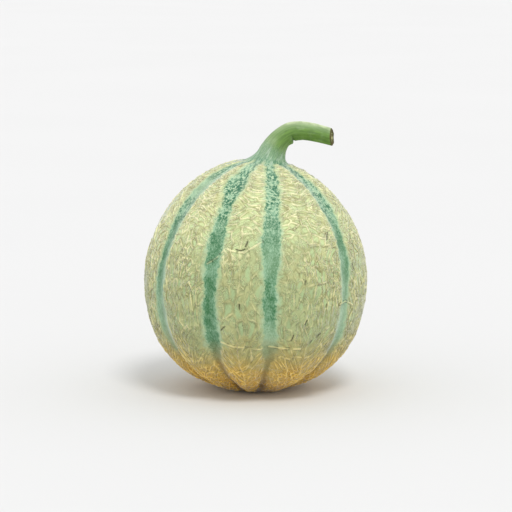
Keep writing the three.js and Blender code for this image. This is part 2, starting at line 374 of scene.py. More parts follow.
# How quiet each rib's net is, and how much quieter on its right side.
RIB_QUIETS = (
    (-0.4, 0.0),
    (-0.45, 0.7),
    (0.4, 0.0),
    (-0.05, -1.6),
    (-0.5, 0.2),
    (0.2, 0.5),
    (-0.1, 0.0),
    (0.4, -0.6),
    (0.0, 0.3),
    (0.1, 0.0),
)
QUIET_POLAR = np.radians(104.0)
QUIET_SPREAD = np.radians(15.0)
QUIET_MORE = 0.4
FAN_START = np.radians(110.0)
FAN_SLOPE = 0.5
FAN_ROUNDING = 3 * MM
SPINE_WANDER = 1.6 * MM
LINE_HALF_WIDTH = 0.6 * MM
SEAM_HALF_WIDTH = 0.3 * MM
FINE_SCALE = 0.55
CHART_STEP = 37.0
RIB_CELL_SCALES = (0.8, 0.78, 1.0, 0.86, 0.8, 0.9, 0.82, 0.95, 0.85, 0.9)
NEAR_CELLS = [(i, j) for i in range(-2, 3) for j in range(-2, 3)]


def net_cords(net, seed, across, along, polar, scale):
    """Cork cords along the borders of uneven cells.

    The skin is cut into boxes, in rows set off like bricks, with one middle jittered in each. A place
    belongs to the nearest middle a. Its distance to the border with another middle b is |x - b|² - |x -
    a|², over twice the length of that difference's slope. Over a border stands a rounded cord. Each border
    has a width and strength of its own. Many have a dark seam along their middle, and many a line of
    painted shade beside their foot. Gives the cords, the seams with that painted shade, the distance to the
    nearest border, and a random number for each cell.
    """
    width = scale * np.interp(polar, CELL_POLAR, CELL_WIDTH)
    length = scale * np.interp(polar, CELL_POLAR, CELL_LENGTH)
    x = across / width
    y = along / length
    row = np.floor(y)
    middles = []
    for i, j in NEAR_CELLS:
        r = row + j
        brick = 0.5 * (r % 2)
        c = np.floor(x - brick) + i
        middle_x = c + 0.5 + brick + net.jitter * (lattice_random(seed, c, r) - 0.5)
        middle_y = r + 0.5 + net.jitter * (lattice_random(seed + 1, c, r) - 0.5)
        middles.append((middle_x, middle_y, c, r))
    middle_x, middle_y, c, r = (np.stack(part) for part in zip(*middles))
    squared = (x - middle_x) ** 2 + (y - middle_y) ** 2
    own = squared.argmin(axis=0)[None]
    own_x, own_y, own_c, own_r, own_squared = (
        np.take_along_axis(part, own, axis=0) for part in (middle_x, middle_y, c, r, squared)
    )
    slope = 2.0 * np.hypot((middle_x - own_x) / width, (middle_y - own_y) / length)
    distance = (squared - own_squared) / np.maximum(slope, 1e-9)
    distance = np.where(slope < 1e-6, 1.0, distance)
    pair = (c + own_c, r + own_r)
    half_width = net.cord_half_width * np.sqrt(scale) * (0.75 + 0.7 * lattice_random(seed + 2, *pair))
    strength = smooth_step(-0.25, 0.75, lattice_random(seed + 3, *pair))
    height = rounded(distance, half_width) * strength
    seamed = smooth_step(0.5, 0.9, lattice_random(seed + 4, *pair))
    seam = seamed * np.clip(1.35 - distance / SEAM_HALF_WIDTH, 0.0, 1.0)
    # Painted shade: a dark line beside the foot of many cords, carried in the seam mark.
    painted_foot_shade = 0.9 * strength * smooth_step(0.2, 0.6, lattice_random(seed + 6, c, r, own_c, own_r))
    seam = np.maximum(seam, painted_foot_shade * bell(distance, 1.1 * half_width, SEAM_HALF_WIDTH))
    cell = lattice_random(seed + 5, own_c[0], own_r[0])
    return height.max(axis=0), seam.max(axis=0), distance.min(axis=0), cell


# Cords that cross the net and the stripes, and dark cracks, as points of longitude and polar angle in degrees.
# Those in front are the photographed ones, and those on the other sides are made up.
STRAY_CORDS = (
    ((-26.5, 75.5), (-20.7, 71.2), (-17.6, 67.3), (-11.4, 68.6), (-7.1, 68.8), (-3.2, 66.2), (2.0, 62.7)),
    ((-18.5, 115.0), (-12.0, 116.6), (-5.1, 116.9), (3.1, 118.4), (9.0, 117.2), (16.0, 117.6), (26.1, 118.0)),
    ((-2.0, 117.5), (-1.6, 125.0), (-5.5, 131.0), (-12.5, 134.0)),
    ((48.0, 96.0), (54.0, 95.0), (60.0, 97.5)),
    ((88.0, 118.0), (95.0, 116.4), (104.0, 118.6)),
    ((124.0, 83.0), (131.0, 85.0), (138.0, 82.6)),
    ((160.0, 103.0), (166.0, 105.0), (175.0, 104.0)),
    ((191.0, 70.0), (200.0, 72.5), (207.0, 70.0)),
    ((227.0, 111.0), (234.0, 112.5), (242.0, 110.0)),
    ((262.0, 91.0), (268.0, 92.5), (277.0, 91.0)),
)
CRACKS = (
    ((-7.9, 94.2), (-7.7, 96.6)),
    ((-5.7, 63.0), (-6.8, 65.8)),
    ((-11.8, 67.2), (-9.1, 67.9), (-6.8, 67.0)),
    ((27.2, 102.1), (26.3, 104.6)),
    ((20.7, 110.1), (19.9, 113.3)),
    ((36.6, 110.0), (34.7, 111.8)),
    ((32.2, 113.2), (31.2, 115.0)),
    ((25.5, 82.3), (25.1, 84.2)),
    ((-15.6, 106.3), (-17.7, 108.4)),
    ((38.5, 94.7), (38.2, 96.4)),
    ((43.9, 58.6), (41.8, 62.7)),
    ((60.3, 75.2), (60.6, 79.8)),
    ((120.0, 70.0), (118.0, 74.0)),
    ((150.0, 96.0), (151.0, 100.0)),
    ((184.0, 60.0), (181.0, 63.0)),
    ((220.0, 88.0), (221.5, 92.0)),
    ((250.0, 74.0), (247.5, 77.0)),
)


def near_lines(lines, longitude, polar, radius):
    """The distance over the skin to the nearest of some lines.

    Each stretch is taken as straight in a plane whose widths are shortened by the sine of its polar angle.
    """
    nearest = np.full(np.broadcast(longitude, polar).shape, 1.0)
    for line in lines:
        points = np.radians(line)
        for start, end in zip(points[:-1], points[1:]):
            level = np.sin(0.5 * (start[1] + end[1]))
            over = ((longitude - start[0] + np.pi) % FULL_TURN - np.pi) * level * radius
            down = (polar - start[1]) * radius
            run = (end[0] - start[0]) * level * radius
            fall = (end[1] - start[1]) * radius
            share = np.clip((over * run + down * fall) / (run**2 + fall**2), 0.0, 1.0)
            nearest = np.minimum(nearest, np.hypot(over - share * run, down - share * fall))
    return nearest


def net_chart(radius, seed, across, along, place, upper, lower):
    """Where places lie on the net's bent chart, across and along, and how far they are from the rib's
    spine.

    Noises bend the chart. Near the stem its rows rise beside the rib's middle, and low down its columns fan
    out from the spine. Each rib's rows have a slant of their own.
    """
    bend = (1.5 - 1.0 * upper - 0.6 * lower) * MM
    from_spine = across + SPINE_WANDER * smooth_noise(seed + 5, along / (9 * MM))
    fanned = np.hypot(np.maximum(along - FAN_START * radius, 0.0), FAN_ROUNDING) - FAN_ROUNDING
    bent = surface_noise(seed, place, 9 * MM) + 0.3 * surface_noise(seed + 1, place, 3.2 * MM)
    chart_across = across + FAN_SLOPE * fanned * np.sign(from_spine) + bend * bent
    slant = 0.5 * (lattice_random(seed + 2, np.zeros(1))[0] - 0.5)
    slant = slant + 0.35 * surface_noise(seed + 9, place, 22 * MM)
    rise = 0.5 * upper * np.hypot(across, 1.5 * MM)
    bent = surface_noise(seed + 3, place, 8 * MM) + 0.3 * surface_noise(seed + 4, place, 2.8 * MM)
    return chart_across, along + rise + slant * across + bend * bent, from_spine


def line_marks(radius, seed, longitude, polar, place, unevenness):
    """The cords that cross the net, and the cracks, which also run in dots beside those cords."""
    broken = surface_noise(seed + 24, place, 1.6 * MM)
    to_cord = near_lines(STRAY_CORDS, longitude, polar, radius) + 0.3 * MM * (unevenness + broken)
    strung = smooth_step(-0.7, -0.1, surface_noise(seed + 26, place, 3.4 * MM))
    stray = 0.75 * strung * rounded(to_cord, LINE_HALF_WIDTH)
    dotted = smooth_step(0.15, 0.5, broken) * bell(to_cord, 0.8 * MM, 0.3 * MM)
    to_crack = near_lines(CRACKS, longitude, polar, radius)
    return stray, np.maximum(smooth_step(0.5 * MM, 0.2 * MM, to_crack + 0.15 * MM * broken), 0.8 * dotted)


def skin_marks(fruit, net, rib, share, polar):
    """What the skin shows at places of one rib, and how far it stands out.

    Every mark but the flecks' and the chart's places and the tone is a number from 0 to 1: stripe and
    margin along the sutures, collar round the stem, and cord, seam, crack and bare skin in the net. The
    seam mark holds the dark seams and the painted shade beside the cords' feet. A coarse net is laid over
    patches of a finer, slanted one. The skin stands out by its cords, and sinks by its rib's form.
    """
    share, polar = np.broadcast_arrays(share, polar)
    longitude = SUTURES[rib] + share * RIB_WIDTHS[rib]
    place = heading(longitude, polar) * fruit.radius
    along = polar * fruit.radius
    rib_width = RIB_WIDTHS[rib] * fruit.radius * np.sin(polar)
    next_suture = (rib + 1) % len(SUTURES)
    depth = np.maximum(
        stripe_depth(net, rib, share * rib_width, polar, along, place),
        stripe_depth(net, next_suture, (share - 1.0) * rib_width, polar, along, place),
    )
    unevenness = surface_noise(net.seed + 11, place, 3.0 * MM)
    tip = RIB_TIP * np.sin(np.pi * share) ** 2
    collar = smooth_step(*COLLAR, polar + tip + COLLAR_UNEVEN * unevenness)

    seed = 1000 + 40 * rib + net.seed
    upper = smooth_step(*NET_UPPER, polar)
    lower = smooth_step(*NET_LOWER, polar)
    chart = net_chart(fruit.radius, seed, (share - 0.5) * rib_width, along, place, upper, lower)
    chart_across, chart_along, from_spine = chart
    cord, seam, to_border, cell = net_cords(net, seed, chart_across, chart_along, polar, RIB_CELL_SCALES[rib])
    slanted = chart_across + 0.4 * chart_along
    fine, fine_seam, _, _ = net_cords(net, seed + 10, slanted, chart_along, polar, FINE_SCALE)
    patchy = smooth_step(-0.5, 0.2, surface_noise(seed + 20, place, 6 * MM))
    bare = smooth_step(0.58, 0.7, cell + 0.15 * surface_noise(seed + 21, place, 14 * MM))
    bare = 0.85 * bare * smooth_step(0.2 * MM, 1.5 * MM, to_border)
    bare = bare * (1.0 - 0.65 * upper) * (1.0 - 0.8 * lower)
    rib_quiet, quieter_right = RIB_QUIETS[rib]
    quiet = surface_noise(seed + 25, place, 15 * MM) + rib_quiet + quieter_right * (share - 0.5)
    quiet = quiet + QUIET_MORE * bell(polar, QUIET_POLAR, QUIET_SPREAD)
    quiet = smooth_step(-0.45, 0.55, quiet) * (1.0 - upper) * (1.0 - 0.7 * lower)
    cord = cord * (0.85 + 0.3 * surface_noise(seed + 22, place, 2.2 * MM) - 0.42 * quiet)
    patchy = patchy * (1.0 - 0.8 * upper) * (1.0 - 0.45 * quiet) * (1.0 - 0.5 * lower)
    cord = np.maximum(cord, 0.72 * fine * patchy * (1.0 - 0.9 * bare))
    seam = np.maximum(seam, 0.9 * fine_seam * patchy * (1.0 - bare)) * (1.0 - 0.35 * quiet)
    spine = 0.6 * rounded(from_spine, LINE_HALF_WIDTH) * smooth_step(FAN_START, FAN_START + 0.1, polar)
    cord = np.maximum(cord, spine)
    seam = seam * smooth_step(-0.7, 0.2, surface_noise(seed + 23, place, 2.4 * MM))

    netted = smooth_step(*NET_EDGE, depth - NET_CREEP * lower) * (1.0 - collar)
    stray, crack = line_marks(fruit.radius, seed, longitude, polar, place, unevenness)
    cord = np.maximum(cord * netted, stray)
    seam = seam * netted * (1.0 - stray)
    bare = bare * netted * (1.0 - stray)
    raised = (
        net.cord_height * (0.92 + 0.25 * lower) * (cord - 0.35 * seam)
        + 0.1 * MM * netted * (1.0 - bare)
        + 0.15 * MM * netted * surface_noise(seed + 30, place, 6 * MM)
        + 0.06 * MM * surface_noise(net.seed + 31, place, 1.3 * MM)
        - 0.3 * MM * crack
    )
    sink = rib_sink(fruit, share, polar, np.minimum(np.abs(share), np.abs(1.0 - share)) * rib_width)
    fleck_radius = fruit.radius * np.maximum(np.sin(polar), FLECK_LEAST)
    tone = np.where(share < 0.5, bells(STRIPE_TONES, rib, polar), bells(STRIPE_TONES, next_suture, polar))
    marks = {
        "fleck_x": fleck_radius * np.sin(longitude),
        "fleck_y": fleck_radius * np.cos(longitude),
        "fleck_z": along / FLECK_STRETCH,
        "net": netted,
        "net_x": chart_across / np.interp(polar, CELL_POLAR, CELL_WIDTH) + CHART_STEP * rib,
        "net_y": chart_along / np.interp(polar, CELL_POLAR, CELL_LENGTH),
        "cord": cord,
        "seam": seam,
        "crack": crack,
        "bare": bare,
        "quiet": quiet,
        "stripe": smooth_step(*STRIPE_EDGE, depth),
        "tone": tone,
        "margin": smooth_step(*MARGIN_EDGE, depth),
        "collar": collar,
    }
    return longitude, raised - sink, marks


def closed_mesh(name, points, faces, corner_places, smooth, marks, normals=None):
    """A mesh of quads and triangles with its own map, a number attribute for each mark, and given normals."""
    mesh = bpy.data.meshes.new(name)
    sizes = np.where(faces[:, 3] < 0, 3, 4)
    corners = faces.reshape(-1)
    kept = corners >= 0
    mesh.vertices.add(len(points))
    mesh.vertices.foreach_set("co", points.astype(np.float32).reshape(-1))
    mesh.loops.add(int(sizes.sum()))
    mesh.loops.foreach_set("vertex_index", corners[kept].astype(np.int32))
    mesh.polygons.add(len(faces))
    mesh.polygons.foreach_set("loop_start", np.concatenate([[0], np.cumsum(sizes)[:-1]]).astype(np.int32))
    mesh.polygons.foreach_set("use_smooth", smooth)
    layer = mesh.uv_layers.new(name="OFBake")
    layer.uv.foreach_set("vector", corner_places.reshape(-1, 2)[kept].astype(np.float32).reshape(-1))
    for mark, values in marks.items():
        attribute = mesh.attributes.new(mark, "FLOAT", "POINT")
        attribute.data.foreach_set("value", values.astype(np.float32))
    mesh.update(calc_edges=True)
    mesh.validate()
    if normals is not None:
        mesh.normals_split_custom_set_from_vertices(normals.astype(np.float32))
    return mesh


def show(name, mesh, material, nodes):
    """Puts a finished mesh in the scene on the melon's one body."""
    mesh.materials.append(material)
    piece = bpy.data.objects.new(name, mesh)
    bpy.context.scene.collection.objects.link(piece)
    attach(piece, "root")
    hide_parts(*nodes)


def grid_normals(points):
    """Normals of a grid of points, from the differences across and down it, without its outermost columns."""
    normals = np.cross(np.gradient(points, axis=0), np.gradient(points, axis=1))
    return (normals / np.linalg.norm(normals, axis=-1, keepdims=True))[:, 1:-1]


def grid_faces(rows, columns):
    """The corners of each face of a grid of points with that many faces, facing out of the fruit."""
    first = np.arange(rows)[:, None] * (columns + 1) + np.arange(columns)
    return np.stack([first, first + columns + 1, first + columns + 2, first + 1], axis=-1).reshape(-1, 4)


def rib_mesh(fruit, net, rib):
    """One rib, from suture to suture.

    Its skin is a grid of share across the rib by polar angle. Triangles from its edges to the fruit's
    middle close it, so that all ribs meet there. The map lays the upper and the lower half of the skin side
    by side.
    """
    columns = max(8, round(fruit.columns * RIB_WIDTHS[rib] / FULL_TURN))
    rows = fruit.rows
    share = np.arange(-1, columns + 2) / columns
    polar = np.linspace(TOP_POLAR, LAST_POLAR, rows + 1)[:, None]
    longitude, raised, marks = skin_marks(fruit, net, rib, share[None], polar)
    padded = skin_points(fruit, longitude, np.broadcast_to(polar, longitude.shape), raised)
    normals = grid_normals(padded).reshape(-1, 3)
    skin = padded[:, 1:-1].reshape(-1, 3)
    marks = {mark: values[:, 1:-1].reshape(-1) for mark, values in marks.items()}
    middle = len(skin)
    middle_point = np.array([[0.0, 0.0, middle_height(fruit)]])

    numbers = np.arange(middle).reshape(rows + 1, columns + 1)
    loop = np.concatenate([numbers[:-1, 0], numbers[-1, :-1], numbers[:0:-1, -1], numbers[0, :0:-1]])
    following = np.roll(loop, -1)
    walls = np.stack([following, loop, np.full(len(loop), middle), np.full(len(loop), -1)], axis=-1)
    faces = np.concatenate([grid_faces(rows, columns), walls])

    half = rows // 2
    row = np.repeat(np.arange(rows), columns)
    column = np.tile(np.arange(columns), rows)
    lower = row >= half
    corner_row = row[:, None] + np.array([0, 1, 1, 0]) - half * lower[:, None]
    corner_column = column[:, None] + np.array([0, 0, 1, 1])
    skin_map = np.stack(
        [
            0.005 + 0.49 * corner_column / columns + 0.5 * lower[:, None],
            0.03 + 0.965 * corner_row / (rows - half),
        ],
        axis=-1,
    )
    step = np.arange(len(loop)) / len(loop)
    wall_map = np.zeros((len(loop), 4, 2))
    wall_map[:, :3, 0] = step[:, None] + np.array([1.0, 0.0, 0.5]) / len(loop)
    wall_map[:, :3, 1] = np.array([0.015, 0.015, 0.002])

    smooth = np.arange(len(faces)) < rows * columns
    return closed_mesh(
        f"rib_{rib + 1:02d}",
        np.concatenate([skin, middle_point]),
        faces,
        np.concatenate([skin_map, wall_map]),
        smooth,
        {mark: np.append(values, 0.0) for mark, values in marks.items()},
        np.concatenate([normals, [[0.0, 0.0, 0.0]]]),
    )


SCAR_ROWS = 40
SCAR_SIDES = 120
# Heights of the scar's parts, in millimetres.
SCAR_LEVEL = 0.42
SCAR_RING = 0.4
SCAR_HOLLOW = 0.95
SCAR_RIM = 0.5
SCAR_GRAIN = 0.09
SCAR_CONE = 8.0


def ring_faces(rows, sides):
    """Quads between closed rings of points, each ring following the one before."""
    ring = np.arange(rows)[:, None] * sides
    side = np.arange(sides)
    after = (side + 1) % sides
    quads = np.stack([ring + side, ring + sides + side, ring + sides + after, ring + after], axis=-1)
    return quads.reshape(-1, 4)


def ring_map(rows, sides, low, high):
    """The map of rings of quads, with one strip of the map for each piece of their length."""
    row = np.repeat(np.arange(rows), sides)[:, None] + np.array([0, 1, 1, 0])
    side = np.tile(np.arange(sides), rows)[:, None] + np.array([0, 0, 1, 1])
    return np.stack([side / sides, low + (high - low) * row / rows], axis=-1)


def fan(ring_start, sides, centre, low, high, inward):
    """Triangles from a closed ring to a centre point, with their map."""
    side = np.arange(sides)
    after = (side + 1) % sides
    pair = (side, after) if inward else (after, side)
    faces = np.stack(
        [ring_start + pair[0], np.full(sides, centre), ring_start + pair[1], np.full(sides, -1)], axis=-1
    )
    places = np.zeros((sides, 4, 2))
    first, last = (0, 1) if inward else (1, 0)
    places[:, 0] = np.stack([(side + first) / sides, np.full(sides, low)], axis=-1)
    places[:, 1] = np.stack([(side + 0.5) / sides, np.full(sides, high)], axis=-1)
    places[:, 2] = np.stack([(side + last) / sides, np.full(sides, low)], axis=-1)
    return faces, places


def scar_mesh(fruit, net):
    """The blossom scar, a round of cork under the fruit.

    Its height over the floor is a function of the distance from its middle: sunk in at the rim, down at a
    low ring of cork that touches the floor, and up again to a rough hollow in the middle. A cone above
    closes it.
    """
    pole = skin_points(fruit, np.zeros(1), np.array([np.pi]), np.zeros(1))[0]
    angle = np.arange(SCAR_SIDES) / SCAR_SIDES * FULL_TURN
    share = np.linspace(1.0, 0.02, SCAR_ROWS + 1)[:, None]
    lobed = 1.0 + 0.05 * np.cos(5 * angle + 0.6) + 0.03 * np.cos(10 * angle)
    lobed = np.where(share < 0.9, 1.0 + (lobed - 1.0) * (0.9 - share) / 0.4, 1.0)
    distance = share * fruit.scar_radius * lobed
    ring = bell(share, 0.74, 0.1)
    hollow = smooth_step(0.68, 0.2, share)
    rim = smooth_step(0.84, 1.0, share)
    x = distance * np.cos(angle)
    y = distance * np.sin(angle)
    place = np.stack([x, y, np.zeros_like(x)], axis=-1)
    rough = surface_noise(net.seed + 90, place, 1.1 * MM)
    rough = rough + 0.6 * surface_noise(net.seed + 91, place, 2.4 * MM)
    height = (SCAR_LEVEL - SCAR_RING * ring + SCAR_HOLLOW * hollow + SCAR_RIM * rim) * MM
    height = np.maximum(height + SCAR_GRAIN * MM * rough * (1.0 - 0.6 * ring) * (1.0 - rim), 0.0)
    skin = np.stack([pole[0] + x, pole[1] + y, height], axis=-1).reshape(-1, 3)
    centre = [[pole[0], pole[1], (SCAR_LEVEL + SCAR_HOLLOW) * MM], [pole[0], pole[1], SCAR_CONE * MM]]
    low_faces, low_map = fan(SCAR_ROWS * SCAR_SIDES, SCAR_SIDES, len(skin), 0.9, 0.98, False)
    top_faces, top_map = fan(0, SCAR_SIDES, len(skin) + 1, 0.02, 0.0, True)
    faces = np.concatenate([ring_faces(SCAR_ROWS, SCAR_SIDES), low_faces, top_faces])
    corner_map = np.concatenate([ring_map(SCAR_ROWS, SCAR_SIDES, 0.05, 0.9), low_map, top_map])
    # The crack mark is darker in the hollow middle, at the rim and in rough patches.
    crack = np.clip(0.5 * hollow + 0.4 * rim + 0.25 * rough, 0.0, 1.0)
    marks = {"crack": np.append(crack.reshape(-1), [0.5, 0.5])}
    smooth = np.arange(len(faces)) < len(faces) - SCAR_SIDES
    return closed_mesh("blossom_scar", np.concatenate([skin, centre]), faces, corner_map, smooth, marks)


# The stem's middle line, from the middle of its seat.
STEM_LINE = np.array(
    [
        [2.0, 0.0, 0.0],
        [2.7, 0.0, 3.6],
        [5.1, 0.0, 8.8],
        [9.1, 0.0, 13.9],
        [13.7, 0.0, 17.2],
        [19.4, -0.3, 18.4],
        [25.6, -1.3, 18.1],
        [31.4, -2.9, 17.1],
        [38.2, -5.4, 15.6],
    ]
) * MM
SEAT_SLIDE = 1.07
SEAT_SINK = 1.0 * MM
FOOT_SINK = 6.0 * MM
FLARE_SINK = 0.3 * MM
FLARE_AT_SUTURES = np.radians(1.6)
FLARE_UNDER_ARM = np.radians(1.4)
FLARE_START = np.radians(2.0)
FLARE_ROWS = 40
SHAFT_ROWS = 150
CUT_ROWS = 22
SHAFT_START = 0.11
BEND_SHARE = 0.47
FOLD_SHARE = 0.022
TAPER = 0.38
FOOT_SWELL = 1.0 * MM
INNER_FILL = 1.4 * MM
RIDGES = 5
PITH_HOLLOW = 0.9 * MM
STREAK_SCALE = (34.0, 7.0, 0.0)


def stem_line(share):
    """Points and directions along the stem: a curve of smooth pieces through its line's points.

    Each stretch between two points is a cubic that leaves each point along the line between its two
    neighbours.
    """
    knots = np.linalg.norm(np.diff(STEM_LINE, axis=0), axis=1).cumsum()
    knots = np.concatenate([[0.0], knots]) / knots[-1]
    slopes = np.gradient(STEM_LINE, knots, axis=0)
    stretch = np.clip(np.searchsorted(knots, share, side="right") - 1, 0, len(knots) - 2)
    span = (knots[stretch + 1] - knots[stretch])[:, None]
    t = (share - knots[stretch])[:, None] / span
    start, end = STEM_LINE[stretch], STEM_LINE[stretch + 1]
    leave, arrive = slopes[stretch] * span, slopes[stretch + 1] * span
    points = (
        (2 * t**3 - 3 * t**2 + 1) * start
        + (t**3 - 2 * t**2 + t) * leave
        + (3 * t**2 - 2 * t**3) * end
        + (t**3 - t**2) * arrive
    )
    tangents = (
        (6 * t**2 - 6 * t) * start
        + (3 * t**2 - 4 * t + 1) * leave
        + (6 * t - 6 * t**2) * end
        + (3 * t**2 - 2 * t) * arrive
    )
    return points, tangents / np.linalg.norm(tangents, axis=1, keepdims=True)


def stem_rings(stem, share, angle):
    """Rings round the stem's line in the fruit's leaning frame, with their directions and the crease.

    Angle 0 is the inside of the bend. The radius falls by a power of the share of the length. Added to it
    are a thick foot, five low ridges that turn slowly, noise, and inside the bend a fold beside a swelling.
    """
    points, tangents = stem_line(share)
    side = np.cross(tangents, np.array([0.0, 1.0, 0.0]))
    side /= np.linalg.norm(side, axis=1, keepdims=True)
    deep = np.cross(side, tangents)
    share = share[:, None]
    radius = stem.foot_radius + (stem.end_radius - stem.foot_radius) * share**TAPER
    radius = radius + FOOT_SWELL * bell(share, 0.0, 0.25)
    inner = bell((angle + np.pi) % FULL_TURN - np.pi, 0.0, 0.95)
    past_bend = (share - BEND_SHARE) / FOLD_SHARE
    fold = bell(past_bend, 0.0, 1.0) - 0.75 * bell(past_bend, -2.8, 2.0)
    ridged = 1.0 + stem.ridge_depth * np.cos(RIDGES * angle + 0.5 + 1.2 * share)
    around = (4 * np.cos(angle), 4 * np.sin(angle), share * 14)
    low_inside = (0.5 + 0.5 * np.cos(angle)) ** 2 * bell(share, 0.1, 0.13)
    uneven = 0.22 * MM * smooth_noise(501, *(part * 0.45 for part in around))
    uneven = uneven + 0.07 * MM * smooth_noise(502, *(part * 1.7 for part in around))
    uneven = uneven + INNER_FILL * low_inside
    reach = radius * ridged - stem.crease_depth * inner * fold + uneven
    rings = points[:, None] - (reach * np.cos(angle))[..., None] * side[:, None]
    rings = rings + (reach * np.sin(angle))[..., None] * deep[:, None]
    return rings, tangents, inner * bell(past_bend, 0.0, 0.9)


def rib_of(longitude):
    """The rib that a longitude lies in, and the share of the way across it."""
    past = (longitude - SUTURES[0]) % FULL_TURN
    starts = SUTURES - SUTURES[0]
    rib = np.searchsorted(starts, past, side="right") - 1
    return rib, (past - starts[rib]) / RIB_WIDTHS[rib]


def flare_rings(fruit, stem, angle, shaft):
    """The rings of the flare.

    Each of its lines is a cubic Bezier curve from the skin to the shaft's first ring, which leaves the skin
    along it and joins the shaft along the shaft. It reaches further down at the sutures and under the
    stem's arm.
    """
    longitude = angle + np.pi / 2
    rib, across = rib_of(longitude)
    reach = stem.flare_reach + FLARE_AT_SUTURES * np.cos(np.pi * across) ** 4
    reach = reach + FLARE_UNDER_ARM * np.clip(np.cos(angle), 0, 1)
    to_suture = np.minimum(across, 1 - across) * RIB_WIDTHS[rib] * fruit.radius * np.sin(reach)
    raised = -rib_sink(fruit, across, reach, to_suture) - FLARE_SINK
    start = skin_points(fruit, longitude, reach, raised)
    inner = skin_points(fruit, longitude, reach - FLARE_START, raised)
    leave = (inner - start) / np.linalg.norm(inner - start, axis=1, keepdims=True)
    arrive = (shaft[1] - shaft[0]) / np.linalg.norm(shaft[1] - shaft[0], axis=1, keepdims=True)
    gap = np.linalg.norm(shaft[0] - start, axis=1)[:, None]
    t = np.linspace(0.0, 1.0, FLARE_ROWS + 1)[:-1, None, None]
    return (
        (1 - t) ** 3 * start
        + 3 * (1 - t) ** 2 * t * (start + 0.45 * gap * leave)
        + 3 * (1 - t) * t**2 * (shaft[0] - 0.25 * gap * arrive)
        + t**3 * shaft[0]
    )


def stem_mesh(fruit, net, stem):
    """The stem: a flare that leaves the skin, the bent shaft, and the cut end.

    The cut end is a slanted disc with a lumpy rim, a shallow ring and a hollow. A cone under the skin
    closes the foot.
    """
    sides = stem.sides
    angle = np.arange(sides) / sides * FULL_TURN
    seat_x = STEM_END_SLIDE * fruit.radius * SEAT_SLIDE
    seat = np.array([seat_x, 0.0, fruit.radius * fruit.stem_end_reach - SEAT_SINK])

    def from_seat(points):
        """Points given from the seat, stood up with the fruit."""
        return stand(fruit, points + seat)

    shaft_share = np.linspace(SHAFT_START, 1.0, SHAFT_ROWS + 1)
    rings, tangents, crease = stem_rings(stem, shaft_share, angle[None])
    cut = shaft_share[:, None] ** 12 * (1.5 * np.cos(angle) - 0.6 * np.sin(angle) - 0.3) * MM
    rings = rings + cut[..., None] * tangents[:, None]
    shaft = from_seat(rings)
    flare = flare_rings(fruit, stem, angle, shaft)

    centre = rings[-1].mean(axis=0)
    inwards = np.linspace(0.0, 0.97, CUT_ROWS + 1)[1:, None]
    rim_noise = smooth_noise(503, 3 * np.cos(angle), 3 * np.sin(angle), inwards * 6)
    fibres = smooth_noise(504, 5 * np.cos(angle), 5 * np.sin(angle), inwards * 9)
    lift = 0.5 * MM * np.sin(np.pi * np.clip(inwards / 0.22, 0, 1)) * (1.0 + 0.5 * rim_noise)
    lift = lift - PITH_HOLLOW * smooth_step(0.16, 0.6, inwards) + 0.12 * MM * fibres
    disc = rings[-1] + (centre - rings[-1]) * inwards[..., None]
    disc = from_seat(disc + lift[..., None] * tangents[-1])
    tip = from_seat(centre - PITH_HOLLOW * tangents[-1])[None]
    foot = from_seat(np.array([0.0, 0.0, -FOOT_SINK]))[None]

    points = np.concatenate([flare, shaft, disc]).reshape(-1, 3)
    ring_count = len(flare) + len(shaft) + len(disc)
    tip_faces, tip_map = fan((ring_count - 1) * sides, sides, len(points), 0.97, 0.99, False)
    foot_faces, foot_map = fan(0, sides, len(points) + 1, 0.02, 0.0, True)
    body = ring_faces(ring_count - 1, sides)[:, ::-1]
    body_map = ring_map(ring_count - 1, sides, 0.03, 0.97)[:, ::-1]
    turned = [2, 1, 0, 3]
    faces = np.concatenate([body, tip_faces[:, turned], foot_faces[:, turned]])
    corner_map = np.concatenate([body_map, tip_map[:, turned], foot_map[:, turned]])
    marks = stem_marks(fruit, net, stem, angle, shaft_share, inwards, crease, rim_noise)
    marks = {mark: np.append(values.reshape(-1), [values[-1, 0], 0.0]) for mark, values in marks.items()}
    smooth = np.arange(len(faces)) < len(faces) - sides
    return closed_mesh("stem", np.concatenate([points, tip, foot]), faces, corner_map, smooth, marks)


def flare_marks(fruit, net, stem, angle):
    """The skin's own marks, carried on up the flare."""
    up = np.linspace(0.0, 1.0, FLARE_ROWS)[:, None]
    polar = stem.flare_reach * (1.0 - 0.55 * up) + np.zeros(len(angle))
    rib, across = rib_of(angle + np.pi / 2)
    flare = {mark: np.zeros(polar.shape) for mark in FLECK_MARKS + RIND_MARKS}
    for number in range(len(SUTURES)):
        here = rib == number
        _, _, marks = skin_marks(fruit, net, number, across[here][None], polar[:, here])
        for mark in flare:
            flare[mark][:, here] = marks[mark]
    return flare


